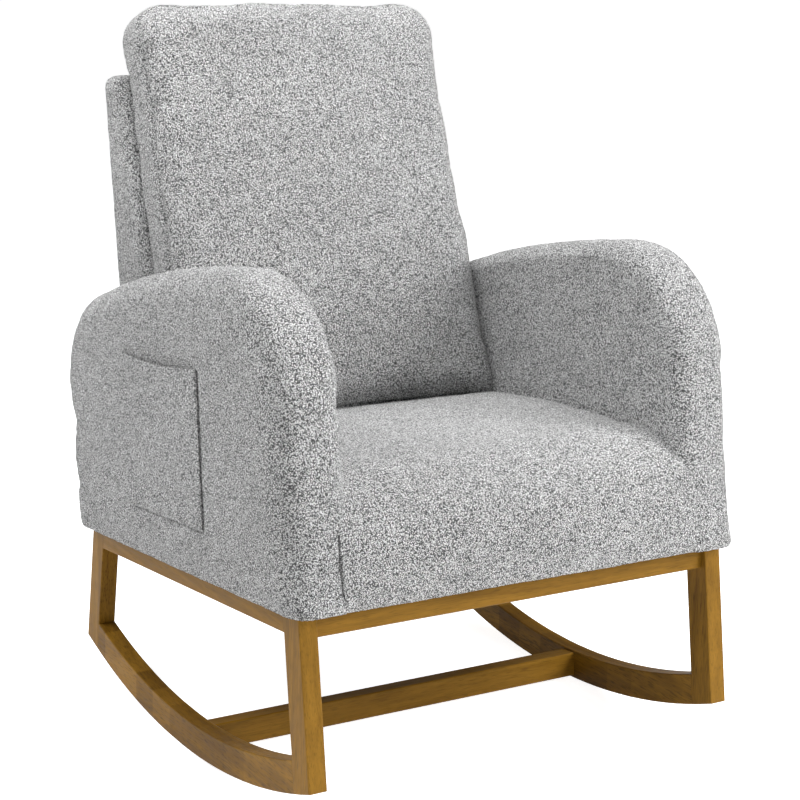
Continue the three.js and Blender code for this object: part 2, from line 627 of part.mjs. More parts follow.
function addOuterBack() {
  const half = OUTER_BACK_HALF;
  const below = BODY_BOTTOM - BELOW_BODY;
  const keep = box(
    -half - OVERSHOOT, half + OVERSHOOT, 0, FAR, BODY_BOTTOM, OUTER_BACK_TOP + BEYOND);
  const padded = common(sideExtrude(outerBackShape(0, below), -half, half, OUTER_BACK_EDGE, 3), keep);
  const roomHalf = half - OUTER_BACK_PADDING;
  const room = sideExtrude(outerBackShape(OUTER_BACK_PADDING, below), -roomHalf, roomHalf);
  const holes = SIDES.map(({ sign }) => backBoltHole(sign));
  add('outer_back', cut(padded, room, ...holes), 'fabric');

  const slack = BACK_FRAME_SLACK;
  const liningBottom = BODY_BOTTOM + GAP;
  add('back_dust_cover', box(
    -roomHalf + GAP, roomHalf - GAP,
    SEAT_REAR + SEAM + OUTER_BACK_PADDING + GAP, bodyRear(liningBottom) - OUTER_BACK_PADDING - GAP,
    liningBottom, liningBottom + LINING), 'lining');

  const bottom = liningBottom + LINING + GAP;
  const top = OUTER_BACK_TOP - OUTER_BACK_PADDING - slack;
  const rear = (z) => bodyRear(z) - OUTER_BACK_PADDING - slack;
  const timber = (z0, z1) => polygon([
    [rear(z0) - BACK_TIMBER, z0], [rear(z0), z0], [rear(z1), z1], [rear(z1) - BACK_TIMBER, z1]]);
  const uprightInside = roomHalf - slack - BACK_TIMBER_WIDTH;
  for (const { name, sign } of SIDES) {
    const [x0, x1] = span(sign, uprightInside, roomHalf - slack);
    add(`back_${name}_upright`, sideExtrude(timber(bottom, top), x0, x1), 'hidden_wood');
  }
  const railHalf = uprightInside - GAP;
  add('back_top_rail', sideExtrude(timber(top - BACK_RAIL_HEIGHT, top), -railHalf, railHalf), 'hidden_wood');
  const lowerFront = SEAT_REAR + SEAM + OUTER_BACK_PADDING + slack;
  const lowerRail = box(
    -railHalf, railHalf, lowerFront, lowerFront + BACK_TIMBER, bottom, bottom + BACK_RAIL_HEIGHT);
  add('back_lower_rail', cut(lowerRail, ...holes), 'hidden_wood');
  for (const { name, sign } of SIDES) {
    add(`back_${name}_bolt`, alongY(boltAlongZ(BACK_BOLT_LENGTH), sign), 'steel');
  }
}

// Front view of the back cushion, narrower at the top, from its foot at z = 0.
function cushionOutline(inset, foot, height) {
  const corner = CUSHION_CORNER - inset;
  const bottomHalf = CUSHION_HALF_BOTTOM - inset;
  const topHalf = CUSHION_HALF_TOP - inset;
  const top = height - inset;
  const outline = new THREE.Shape();
  outline.moveTo(-bottomHalf, foot);
  outline.lineTo(bottomHalf, foot);
  outline.lineTo(topHalf, top - corner);
  outline.quadraticCurveTo(topHalf, top, topHalf - corner, top);
  outline.lineTo(-topHalf + corner, top);
  outline.quadraticCurveTo(-topHalf, top, -topHalf, top - corner);
  return outline;
}

// The back cushion is a rounded slab, standing on the seat against the outer back. It is its cover
// only, open underneath, because the fibre inside weighs next to nothing.
function addBackCushion() {
  const slope = Math.atan(BACK_LEAN);
  const thickness = CUSHION_THICKNESS * Math.cos(slope);
  const height = (CUSHION_TOP - CUSHION_BOTTOM) / Math.cos(slope) - thickness * Math.tan(slope);
  const slab = frontExtrude(cushionOutline(0, 0, height), -thickness, 0, CUSHION_EDGE, 4, 6);
  const room = frontExtrude(
    cushionOutline(CUSHION_WALL, -CUSHION_WALL, height), -thickness + CUSHION_WALL, -CUSHION_WALL);
  const foot = cushionRear(CUSHION_BOTTOM) - SEAM;
  add('back_cushion', cut(slab, room).rotateX(-slope).translate(0, foot, CUSHION_BOTTOM), 'fabric');
}

// --- assembly ----------------------------------------------------------------------------------

addBase();
SIDES.forEach(addArm);
addSeat();
addOuterBack();
addBackCushion();

// Roll the chair back on its rockers, about the centre of their curve.
leaned.rotation.x = -REST_TILT;
const centre = new THREE.Vector3(0, ROCKER_CENTRE_Y, ROCKER_RADIUS);
leaned.position.copy(centre).sub(centre.clone().applyEuler(leaned.rotation));
// The flat lies a little above the full curve, so the chair is lowered onto it.
leaned.position.z -= ROCKER_RADIUS * (1 - Math.cos(REST_FLAT_ANGLE / 2));

chair.updateMatrixWorld(true);
const bounds = new THREE.Box3().setFromObject(chair, true);
chair.position.y = -(bounds.min.y + bounds.max.y) / 2;
chair.updateMatrixWorld(true);

export default chair;
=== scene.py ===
"""An upholstered rocking chair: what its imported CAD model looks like.

The wooden base, the webbing and the fixings are the CAD's own solids, with procedural materials. The
upholstery is built here. A padded cover starts as a plain prism, is remeshed, inflated as cloth, fitted to
its neighbours and given its curly pile. A pocket is a sheet laid on its arm. All of it is shaped in the
chair's own frame, where the base rails are level, and is then leaned back with the chair on its rockers.
"""

import math

import bmesh
import bpy
import numpy as np
from mathutils import Matrix, Vector
from mathutils.bvhtree import BVHTree


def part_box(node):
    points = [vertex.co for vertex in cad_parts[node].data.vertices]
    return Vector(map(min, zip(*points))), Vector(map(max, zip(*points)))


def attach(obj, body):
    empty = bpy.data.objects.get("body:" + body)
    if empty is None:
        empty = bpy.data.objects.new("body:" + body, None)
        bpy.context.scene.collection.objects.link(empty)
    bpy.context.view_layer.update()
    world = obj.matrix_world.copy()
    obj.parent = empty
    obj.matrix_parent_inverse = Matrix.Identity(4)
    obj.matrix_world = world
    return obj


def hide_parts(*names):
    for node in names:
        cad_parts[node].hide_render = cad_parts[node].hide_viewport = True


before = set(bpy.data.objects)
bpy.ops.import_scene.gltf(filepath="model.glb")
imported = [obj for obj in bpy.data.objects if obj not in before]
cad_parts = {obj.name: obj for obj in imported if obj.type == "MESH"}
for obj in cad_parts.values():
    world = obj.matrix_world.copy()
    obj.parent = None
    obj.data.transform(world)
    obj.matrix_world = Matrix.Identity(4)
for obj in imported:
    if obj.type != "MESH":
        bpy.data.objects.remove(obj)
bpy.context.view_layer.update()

MM = 0.001

# How far the chair leans back at rest, and the middle of its stretcher in the chair's own frame
REST_TILT = math.radians(6)
STRETCHER_MIDDLE = Vector((0, -1.5, 23)) * MM

# Upholstered body, in millimetres in the chair's own frame. Arms, seat and outer back are drawn too long
# and are cut level at BODY_BOTTOM. What lies between the arms is drawn too wide, and they squeeze it.
BODY_BOTTOM = 262.5
BODY_FRONT = -353
BODY_REAR = 358
BODY_LEAN = 0.058
ARM_OUTER = 347
ARM_INNER = 257
ARM_TOP = 685
ARM_FRONT_RADIUS = 170
ARM_CREST_RADIUS = 1560
ARM_REAR_RADIUS = 142
SEAT_HALF = 255
SEAT_BULGE = 32  # before the arms squeeze it
SEAT_FRONT = -350
SEAT_REAR = 205
SEAT_REAR_TOP = 419
SEAT_UNDER = 325
SEAT_LIP = 60  # thickness of the padding that hangs in front of the seat
SEAT_TOP = 424
SEAT_DOME = 10
SEAT_DOME_LENGTH = 400
SEAT_DOME_STEPS = range(-190, 180, 30)  # where its points lie
NOSE_PLACE = (-225, 360)  # middle of the quarter ellipse of the seat's front edge
NOSE_SIZE = (118, 64)
BACK_LEAN = 0.252
CUSHION_BOTTOM = 424
CUSHION_TOP = 1044
CUSHION_FRONT = 121
CUSHION_DEPTH = 84
CUSHION_HALF_BOTTOM = 280  # before the arms squeeze it
CUSHION_HALF_TOP = 262
CUSHION_CROWN = 8
CUSHION_CORNER = 60
CUSHION_SHIFT = 4  # it sits a little to one side
CUSHION_SINK = 28  # how far its foot is made too long, to be flattened on the seat
CUSHION_FOOT = 60  # the part of it that may be flattened
CUSHION_SEAM_INSET = 10
OUTER_BACK_TOP = 934
OUTER_BACK_HALF = 260  # before the arms squeeze it
LINING_HALF = 249  # the room for the dust cover under the outer back
LINING_FRONT = 211
LINING_REAR = 348
LINING_RECESS = 5
POCKET_FRONT = -113
POCKET_REAR = 122
POCKET_BOTTOM = 335
POCKET_TOP = 549
POCKET_SAG = 5
POCKET_SEAM = 7  # cloth turned in along its sewn sides
POCKET_HEM = 11  # and along its mouth
POCKET_CLOTH = 2
POCKET_COLUMNS = 94
POCKET_ROWS = 86

# How the cloth of a pocket stands off its arm, in millimetres
STAND_OFF = 2.4
SLACK = 1.4
GAPE = 3.2  # at the mouth
GAPE_REACH = 45
FOLD = 0.9
FOLD_SOFTNESS = 1.2

# Padding: rounded edges, the smaller rounding where a cover is cut level, and how far cloth may swell
ARM_EDGE, ARM_HEM, ARM_SWELL = 26, 7, 8
SEAT_EDGE, SEAT_HEM, SEAT_SWELL = 8, 5, 7
OUTER_BACK_EDGE, OUTER_BACK_HEM, OUTER_BACK_SWELL = 17, 6, 6
CUSHION_EDGE, CUSHION_SWELL = 22, 18
TAIL = 40  # how far an outline reaches below the body before it is cut level
PLAY = 1  # an outline is drawn in by this once or twice, and the cloth swells into the room
TOUCH = 0.4  # from a soft piece to the plane in which it meets its neighbour
NAP = 0.8  # how far two piles grow into each other where their pieces are squeezed together
WELD = 0.5  # points that a squeeze brings closer than this are joined
BEVEL_STEPS = 5
CORNER_ANGLE = 35  # in degrees: a rim sharper than this is rounded
HEM_ANGLE = 60
FAR = 1000  # beyond the surfaces that rays are cast at, and far from any seam

# Cloth simulation: the lowest HEM_FIXED of a cover stays put, and it is free from HEM_FREE above that
SIM_FRAMES = 20
CLOTH_PRESSURE = 4
CLOTH_QUALITY = 4
HEM_FIXED = 4
HEM_FREE = 20

# Seams, as depth and width in millimetres
POCKET_STITCH = (2.2, 2.6)
CUSHION_STITCH = (4.2, 3)

# In metres: the net's size, and the size and strength of dents in the filling and of lumps in the pile
VOXEL = 0.006
DENTS = (0.11, 0.006)
FINE_LUMPS = (0.004, 0.0014)
BROAD_LUMPS = (0.045, 0.0016)

# Camera, in the chair's own frame
CAMERA_PLACE = Vector((-1409, -2401, 884)) * MM
CAMERA_AZIMUTH = math.radians(-30.69)
CAMERA_ELEVATION = math.radians(8.66)
CAMERA_ROLL = math.radians(-1.5)
CAMERA_LENS = 88.84
CAMERA_REACH = 50

# Studio, in metres and watts. Each light has its name, its place from the chair's middle, size and power.
MIDDLE = Vector((0, 0, 0.5))
LIGHTS = (
    ("left_softbox", (-1.9, 0.93, 2.1), 1.6, 61),
    ("right_softbox", (1.8, -2.1, 1.2), 1.6, 88),
    ("front_softbox", (-1.6, -2.5, 0.5), 1.6, 8),
    ("top_softbox", (0, 0, 2.8), 2.4, 100),
)
AMBIENT = 0.145
BACKDROP = 1.0  # as the camera sees it
FLOOR_HALF = 60
FLOOR_GREY = 0.85
FLOOR_ROUGHNESS = 0.7
FLOOR_GLOW = 0.25
FLOOR_GLOW_SEEN = 0.9
WHITE = (1, 1, 1, 1)

# Pattern scales of the pile, and how far its loops wander and stand up, in metres
WANDER_SCALE = 300.0
WANDER = 0.0026
LOOP_SCALE = 530.0
YARN_SCALE = 800.0
PILE = 0.0036

# Stained oak, and the length of the blocks that a rocker is glued up from
GOLD = (0.27, 0.135, 0.014)
BROWN = (0.13, 0.06, 0.005)
ROCKER_BLOCK = 0.058


def chair_to_world():
    """How the whole chair leans on its rockers, found from where the stretcher lies."""
    turn = Matrix.Rotation(-REST_TILT, 4, "X")
    low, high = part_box("stretcher")
    return Matrix.Translation((low + high) / 2 - turn @ STRETCHER_MIDDLE) @ turn


LEAN = chair_to_world()


# --- materials -----------------------------------------------------------------------------------


class Nodes:
    """A short way to write a material's node tree."""

    def __init__(self, name):
        self.material = bpy.data.materials.new(name)
        self.material.use_nodes = True
        self.tree = self.material.node_tree
        self.shader = self.tree.nodes["Principled BSDF"]

    def add(self, kind, inputs=None, **settings):
        node = self.tree.nodes.new(kind)
        for key, value in settings.items():
            setattr(node, key, value)
        for key, value in (inputs or {}).items():
            self.feed(node.inputs[key], value)
        return node

    def feed(self, socket, value):
        if isinstance(value, bpy.types.NodeSocket):
            self.tree.links.new(value, socket)
        else:
            socket.default_value = value

    def math(self, operation, *values):
        node = self.add("ShaderNodeMath", operation=operation)
        for socket, value in zip(node.inputs, values):
            self.feed(socket, value)
        return node.outputs[0]

    def ramp(self, factor, *stops):
        node = self.add("ShaderNodeValToRGB", {"Fac": factor})
        points = node.color_ramp.elements
        while len(points) < len(stops):
            points.new(0.5)
        for point, (place, colour) in zip(points, stops):
            point.position = place
            point.color = (*colour, 1) if isinstance(colour, tuple) else (colour, colour, colour, 1)
        return node.outputs["Color"]

    def blend(self, kind, factor, a, b):
        node = self.add("ShaderNodeMix", data_type="RGBA", blend_type=kind)
        self.feed(node.inputs["Factor"], factor)
        self.feed(node.inputs["A"], a)
        self.feed(node.inputs["B"], b)
        return node.outputs["Result"]

    def noise(self, place, scale, detail=2.0, roughness=0.5, distortion=0.0):
        node = self.add("ShaderNodeTexNoise", {
            "Vector": place, "Scale": scale, "Detail": detail,
            "Roughness": roughness, "Distortion": distortion})
        return node.outputs["Fac"]

    def place(self, stretch=(1, 1, 1), turn=(0, 0, 0)):
        """A point on the object, with the pattern stretched along an axis by a scale below 1."""
        where = self.add("ShaderNodeTexCoord").outputs["Object"]
        node = self.add("ShaderNodeMapping", {"Vector": where, "Rotation": turn, "Scale": stretch})
        return node.outputs["Vector"]

    def bump(self, height, strength, distance):
        node = self.add("ShaderNodeBump", {"Height": height, "Strength": strength, "Distance": distance})
        self.feed(self.shader.inputs["Normal"], node.outputs["Normal"])


def boucle():
    """Light grey curly pile, coloured by the loops' height: painted shade darkens the gaps between the loops
    and painted highlight brightens their tops.
    """
    n = Nodes("boucle")
    where = n.place()
    wander = n.add("ShaderNodeTexNoise", {"Vector": where, "Scale": WANDER_SCALE, "Detail": 1.0})
    shifted = n.add("ShaderNodeVectorMath", {0: wander.outputs["Color"], 1: (WANDER, WANDER, WANDER)},
                    operation="MULTIPLY")
    curled = n.add("ShaderNodeVectorMath", {0: where, 1: shifted.outputs[0]}, operation="ADD")
    loops = n.add("ShaderNodeTexVoronoi", {
        "Vector": curled.outputs[0], "Scale": LOOP_SCALE, "Randomness": 1.0},
        feature="F1").outputs["Distance"]
    yarn = n.noise(curled.outputs[0], YARN_SCALE, 2.0, 0.6, 0.4)
    clumps = n.noise(where, 60.0, 2.0)
    patches = n.noise(where, 6.0, 2.0)
    height = n.math("SUBTRACT", n.math("MULTIPLY", yarn, 1.1), n.math("MULTIPLY", loops, 0.75))
    tone = n.math("ADD", height, n.math("MULTIPLY", n.math("SUBTRACT", clumps, 0.5), 0.12))
    # Painted shade and highlight: the lower the pile, the darker its colour, down to near black in the gaps,
    # and the highest loops are painted white.
    colour = n.ramp(tone, (0.03, (0.03, 0.03, 0.0303)), (0.16, (0.31, 0.31, 0.3115)),
                    (0.28, (0.83, 0.83, 0.83)), (0.39, (1.0, 1.0, 0.998)))
    worn = n.ramp(patches, (0.35, 0.93), (0.65, 1.0))
    n.feed(n.shader.inputs["Base Color"], n.blend("MULTIPLY", 1.0, colour, worn))
    n.feed(n.shader.inputs["Roughness"], n.ramp(tone, (0.1, 1.0), (0.6, 0.82)))
    n.shader.inputs["Specular IOR Level"].default_value = 0.15
    n.shader.inputs["Sheen Weight"].default_value = 0.3
    n.shader.inputs["Sheen Roughness"].default_value = 0.6
    n.bump(height, 1.0, PILE)
    return n.material


def oak(name, stretch, light, dark, blocks=0.0):
    """Honey-brown stained wood. The grain runs along the axis whose stretch is small."""
    n = Nodes(name)
    where = n.place(stretch)
    bands = n.noise(where, 55.0, 4.0, 0.55, 1.2)
    fine = n.noise(where, 420.0, 3.0, 0.6)
    pores = n.noise(where, 900.0, 1.0, 0.5)
    clouds = n.noise(n.place(), 9.0, 2.0)
    tone = n.math("ADD", n.math("MULTIPLY", bands, 0.7), n.math("MULTIPLY", fine, 0.3))
    if blocks:
        along = n.add("ShaderNodeSeparateXYZ", {0: n.place()}).outputs["Y"]
        block = n.math("FLOOR", n.math("DIVIDE", along, blocks))
        dye = n.add("ShaderNodeTexWhiteNoise", {"W": block}, noise_dimensions="1D").outputs["Value"]
        tone = n.math("ADD", tone, n.math("MULTIPLY", n.math("SUBTRACT", dye, 0.5), 0.22))
    colour = n.ramp(tone, (0.34, dark), (0.64, light))
    stain = n.ramp(clouds, (0.3, 0.86), (0.7, 1.0))
    pore = n.ramp(pores, (0.32, 0.4), (0.46, 1.0))
    stained = n.blend("MULTIPLY", 1.0, n.blend("MULTIPLY", 0.75, colour, pore), stain)
    edge = n.ramp(n.add("ShaderNodeNewGeometry").outputs["Pointiness"], (0.52, 0.0), (0.62, 1.0))
    lighter = n.blend("MIX", n.math("MULTIPLY", edge, 0.35), stained, (*light, 1))
    n.feed(n.shader.inputs["Base Color"], lighter)
    n.feed(n.shader.inputs["Roughness"], n.ramp(fine, (0.3, 0.36), (0.7, 0.52)))
    n.shader.inputs["Specular IOR Level"].default_value = 0.11
    n.shader.inputs["Coat Weight"].default_value = 0.03
    n.shader.inputs["Coat Roughness"].default_value = 0.3
    n.bump(tone, 0.12, 0.0006)
    return n.material


def bare_wood():
    """Sawn softwood that the upholstery hides."""
    n = Nodes("bare_wood")
    rings = n.noise(n.place((1, 0.12, 0.12)), 60.0, 4.0, 0.6, 1.5)
    fibre = n.noise(n.place((0.2, 1, 1)), 700.0, 2.0)
    colour = n.ramp(rings, (0.3, (0.36, 0.22, 0.10)), (0.7, (0.62, 0.45, 0.26)))
    n.feed(n.shader.inputs["Base Color"], colour)
    n.feed(n.shader.inputs["Roughness"], n.ramp(fibre, (0.3, 0.7), (0.7, 0.9)))
    n.bump(fibre, 0.4, 0.0006)
    return n.material


def woven(name, light, dark, pitch):
    """A plain weave: threads over and under each other along X and Y."""
    n = Nodes(name)
    where = n.place()
    warp = n.add("ShaderNodeTexWave", {"Vector": where, "Scale": 0.5 / pitch, "Distortion": 0.6},
                 bands_direction="X").outputs["Fac"]
    weft = n.add("ShaderNodeTexWave", {"Vector": where, "Scale": 0.5 / pitch, "Distortion": 0.6},
                 bands_direction="Y").outputs["Fac"]
    weave = n.math("MAXIMUM", n.math("MULTIPLY", warp, 0.9), weft)
    dust = n.noise(where, 40.0, 3.0)
    colour = n.ramp(weave, (0.2, dark), (0.9, light))
    dusty = n.ramp(dust, (0.3, 0.8), (0.7, 1.0))
    n.feed(n.shader.inputs["Base Color"], n.blend("MULTIPLY", 1.0, colour, dusty))
    n.feed(n.shader.inputs["Roughness"], n.ramp(dust, (0.3, 0.8), (0.7, 0.95)))
    n.bump(weave, 0.5, 0.0005)
    return n.material


def zinc():
    """Plated steel of the bolts, brushed and a little dull."""
    n = Nodes("zinc")
    brushed = n.noise(n.place((1, 0.05, 1)), 900.0, 2.0)
    dull = n.noise(n.place(), 80.0, 3.0)
    colour = n.ramp(dull, (0.3, (0.42, 0.43, 0.44)), (0.7, (0.62, 0.63, 0.64)))
    n.feed(n.shader.inputs["Base Color"], colour)
    n.shader.inputs["Metallic"].default_value = 1.0
    n.feed(n.shader.inputs["Roughness"], n.ramp(brushed, (0.3, 0.28), (0.7, 0.5)))
    n.bump(brushed, 0.1, 0.0003)
    return n.material


boucle_cloth = boucle()
wood_across = oak("oak_across", (0.06, 1, 1), GOLD, BROWN)
wood_along = oak("oak_along", (1, 0.06, 1), GOLD, BROWN)
wood_upright = oak("oak_upright", (1, 1, 0.06), GOLD, BROWN)
wood_rocker = oak("oak_rocker", (1, 0.06, 0.6), GOLD, BROWN, blocks=ROCKER_BLOCK)
hidden = bare_wood()
webbing = woven("webbing_weave", (0.05, 0.048, 0.045), (0.012, 0.012, 0.011), 0.0022)
lining = woven("lining_weave", (0.028, 0.028, 0.03), (0.01, 0.01, 0.011), 0.0009)
steel = zinc()


def cad_material(name):
    """The material of a CAD node that stays in view."""
    if "bolt" in name:
        return steel
    if name.startswith("webbing"):
        return webbing
    if name.endswith("dust_cover"):
        return lining
    if name.startswith(("seat_", "back_")) or name.endswith("arm_frame"):
        return hidden
    if name.endswith("rocker"):
        return wood_rocker
    if name.endswith("leg"):
        return wood_upright
    return wood_along if name.endswith("side_rail") else wood_across


def dress_cad(nodes):
    """Gives every CAD node its material."""
    for name, piece in nodes.items():
        for place in piece.material_slots:
            place.material = cad_material(name)


# --- covers --------------------------------------------------------------------------------------


def arc(centre, radius, start, end, steps):
    """Points on a circle, from one angle in degrees to another."""
    angles = np.radians(np.linspace(start, end, steps))
    return [(centre[0] + radius * math.cos(a), centre[1] + radius * math.sin(a)) for a in angles]


def body_front(z):
    """The body's leaning front, at a height."""
    return BODY_FRONT + BODY_LEAN * (z - BODY_BOTTOM)


def body_rear(z):
    return BODY_REAR + BODY_LEAN * (z - BODY_BOTTOM)


def arm_outline():
    """Side view of an arm: a round front, a long falling crest and a round rear corner."""
    low = BODY_BOTTOM - TAIL
    front_z = ARM_TOP - ARM_FRONT_RADIUS
    front_y = body_front(front_z) + ARM_FRONT_RADIUS
    crest_z = ARM_TOP - ARM_CREST_RADIUS
    rear_y = body_rear(front_z) - ARM_REAR_RADIUS
    reach = ARM_CREST_RADIUS - ARM_REAR_RADIUS
    crest_end = math.degrees(math.acos((rear_y - front_y) / reach))
    rear_z = crest_z + reach * math.sin(math.radians(crest_end))
    return [
        (body_front(low), low),
        (body_rear(low), low),
        *arc((rear_y, rear_z), ARM_REAR_RADIUS, 0, crest_end, 10),
        *arc((front_y, crest_z), ARM_CREST_RADIUS, crest_end, 90, 14)[1:],
        *arc((front_y, front_z), ARM_FRONT_RADIUS, 90, 180, 16)[1:],
    ]


def seat_outline():
    """Side view of the seat: a waterfall front and a gently domed top."""
    nose_y, nose_z = NOSE_PLACE
    deep, tall = NOSE_SIZE
    turns = np.linspace(math.pi, math.pi / 2, 12)
    nose = [(nose_y + deep * math.cos(a), nose_z + tall * math.sin(a)) for a in turns]
    top = []
    for y in SEAT_DOME_STEPS:
        top.append((y, SEAT_TOP + SEAT_DOME * math.sin(math.pi * (y - nose_y) / SEAT_DOME_LENGTH)))
    low = BODY_BOTTOM - TAIL
    return [
        (SEAT_REAR, SEAT_UNDER),
        (SEAT_REAR, SEAT_REAR_TOP),
        *reversed(top),
        *reversed(nose),
        (SEAT_FRONT, low),
        (SEAT_FRONT + SEAT_LIP, low),
        (SEAT_FRONT + SEAT_LIP, SEAT_UNDER),
    ]


def outer_back_outline():
    """Side view of the outer back: it leans in front and stands nearly upright behind."""
    front = CUSHION_FRONT + CUSHION_DEPTH + PLAY
    top_front = front + BACK_LEAN * (OUTER_BACK_TOP - CUSHION_BOTTOM)
    low = BODY_BOTTOM - TAIL
    return [
        (SEAT_REAR + 2 * PLAY, low),
        (body_rear(low), low),
        (body_rear(OUTER_BACK_TOP), OUTER_BACK_TOP),
        (top_front, OUTER_BACK_TOP),
        (front, CUSHION_BOTTOM),
    ]


def cushion_outline(height):
    """Front view of the back cushion from its foot at z = 0: narrower and rounded at the top."""
    corner = CUSHION_CORNER
    reach = CUSHION_HALF_TOP - corner
    right = [(CUSHION_HALF_BOTTOM, -CUSHION_SINK), *arc((reach, height - corner), corner, 0, 90, 7)]
    across = np.linspace(reach, -reach, 13)[1:-1]
    crown = [(x, height + CUSHION_CROWN * (1 - (x / reach) ** 2)) for x in across]
    return right + crown + [(-x, z) for x, z in reversed(right)]


def prism(name, outline, axis, low, high):
    """A closed solid from a flat outline. axis "X" takes (y, z) points, and "Y" takes (x, z) points."""
    mesh = bpy.data.meshes.new(name)
    ends = []
    for depth in (low, high):
        if axis == "X":
            ends += [Vector((depth, u, v)) * MM for u, v in outline]
        else:
            ends += [Vector((u, depth, v)) * MM for u, v in outline]
    count = len(outline)
    faces = [tuple(range(count)), tuple(range(2 * count - 1, count - 1, -1))]
    faces += [(i, (i + 1) % count, count + (i + 1) % count, count + i) for i in range(count)]
    mesh.from_pydata(ends, [], faces)
    skin = bmesh.new()
    skin.from_mesh(mesh)
    bmesh.ops.recalc_face_normals(skin, faces=skin.faces)
    skin.to_mesh(mesh)
    skin.free()
    piece = bpy.data.objects.new(name, mesh)
    bpy.context.scene.collection.objects.link(piece)
    return piece


def settle(piece):
    """Makes what the modifiers show the piece's own mesh."""
    seen = piece.evaluated_get(bpy.context.evaluated_depsgraph_get())
    mesh = bpy.data.meshes.new_from_object(seen)
    piece.modifiers.clear()
    piece.data = mesh


def modify(piece, kind, **settings):
    """Adds a modifier with the given settings."""
    modifier = piece.modifiers.new(kind.title(), kind)
    for key, value in settings.items():
        setattr(modifier, key, value)
    return modifier


def points_of(piece):
    """The piece's vertices as rows of an array, in metres."""
    points = np.empty(len(piece.data.vertices) * 3)
    piece.data.vertices.foreach_get("co", points)
    return points.reshape(-1, 3)


def normals_of(piece):
    normals = np.empty(len(piece.data.vertices) * 3, np.float32)
    piece.data.vertex_normals.foreach_get("vector", normals)
    return normals.reshape(-1, 3)


def move_to(piece, points):
    """Puts the piece's vertices where the rows say."""
    piece.data.vertices.foreach_set("co", points.astype(np.float32).ravel())
    piece.data.update()


def bevel(piece, edge, angle):
    """Rounds the edges that are sharper than an angle in degrees."""
    limit = math.radians(angle)
    modify(piece, "BEVEL", width=edge * MM, segments=BEVEL_STEPS, limit_method="ANGLE", angle_limit=limit)
    settle(piece)


def rounded(piece, edge, hem=None):
    """Rounds the prism's rim and turns it into an even net of small faces.

    With a hem, the prism reaches below the body, is cut level there, and gets that smaller rounding.
    """
    bevel(piece, edge, CORNER_ANGLE)
    if hem:
        skin = bmesh.new()
        skin.from_mesh(piece.data)
        everything = skin.verts[:] + skin.edges[:] + skin.faces[:]
        level = Vector((0, 0, BODY_BOTTOM)) * MM
        cut = bmesh.ops.bisect_plane(
            skin, geom=everything, plane_co=level, plane_no=(0, 0, -1), clear_outer=True)
        rim = [e for e in cut["geom_cut"] if isinstance(e, bmesh.types.BMEdge)]
        bmesh.ops.contextual_create(skin, geom=rim)
        skin.to_mesh(piece.data)
        skin.free()
        bevel(piece, hem, HEM_ANGLE)
    modify(piece, "REMESH", mode="VOXEL", voxel_size=VOXEL)
    settle(piece)


def inflate(caps, loose):
    """Blows the covers up as cloth, all at once, and lets no point go further than its cover's cap.

    A cover's hem stays where it is, unless the cover is the loose one.
    """
    starts = {piece: points_of(piece) for piece in caps}
    for piece in caps:
        cloth = modify(piece, "CLOTH")
        cloth.settings.use_pressure = True
        cloth.settings.uniform_pressure_force = CLOTH_PRESSURE
        cloth.settings.effector_weights.gravity = 0
        cloth.settings.quality = CLOTH_QUALITY
        cloth.point_cache.frame_start = 1
        cloth.point_cache.frame_end = SIM_FRAMES
    for number in range(1, SIM_FRAMES + 1):
        bpy.context.scene.frame_set(number)
    for piece, cap in caps.items():
        settle(piece)
        moved = points_of(piece) - starts[piece]
        length = np.linalg.norm(moved, axis=1, keepdims=True)
        limit = cap * MM
        if piece is not loose:
            height = starts[piece][:, 2:] / MM
            moved = moved * np.clip((height - BODY_BOTTOM - HEM_FIXED) / HEM_FREE, 0, 1)
        move_to(piece, starts[piece] + moved * (limit * np.tanh(length / limit) / np.maximum(length, 1e-9)))
    bpy.context.scene.frame_set(1)


def press(piece, place, outward):
    """Flattens a piece against a plane: points beyond it come straight back onto it."""
    normal = np.array(Vector(outward).normalized())
    points = points_of(piece)
    beyond = np.maximum((points - np.array(place) * MM) @ normal, 0)
    move_to(piece, points - beyond[:, None] * normal)


def surface_of(piece):
    """The piece's faces as a tree that rays can be cast at."""
    mesh = piece.data
    return BVHTree.FromPolygons([v.co for v in mesh.vertices], [p.vertices for p in mesh.polygons])


def fit_between_arms(piece, arm):
    """Squeezes a piece between the arms, so that it fills the space up to their rounded edges."""
    inner_face = surface_of(arm)
    for vertex in piece.data.vertices:
        spot = inner_face.ray_cast(Vector((0, vertex.co.y, vertex.co.z)), Vector((1, 0, 0)))[0]
        if spot:
            room = spot.x + NAP * MM
            vertex.co.x = min(max(vertex.co.x, -room), room)
    modify(piece, "WELD", merge_threshold=WELD * MM)
    settle(piece)


def rest_on(piece, below):
    """Flattens a piece's foot on the top of another, where it would sink in."""
    top = surface_of(below)
    for vertex in piece.data.vertices:
        if vertex.co.z > (CUSHION_BOTTOM + CUSHION_FOOT) * MM:
            continue
        spot = top.ray_cast(Vector((vertex.co.x, vertex.co.y, FAR * MM)), Vector((0, 0, -1)))[0]
        if spot:
            vertex.co.z = max(vertex.co.z, spot.z - NAP * MM)
    piece.data.update()


def make_room_for_lining(back):
    """Lifts the outer back's underside inside its rim, so that it clears the dust cover there."""
    points = points_of(back) / MM
    x, y, z = points.T
    clear = BODY_BOTTOM + LINING_RECESS
    inside = (np.abs(x) < LINING_HALF) & (y > LINING_FRONT) & (y < LINING_REAR)
    points[:, 2] = np.where(inside & (z < clear), clear, z)
    move_to(back, points * MM)


def sew(piece, distance, stitch):
    """Presses a seam into a cover. distance gives how far each point is from it, in millimetres."""
    depth, width = stitch
    points = points_of(piece)
    groove = depth * MM * np.exp(-((distance(points / MM) / width) ** 2))
    move_to(piece, points - normals_of(piece) * groove[:, None])


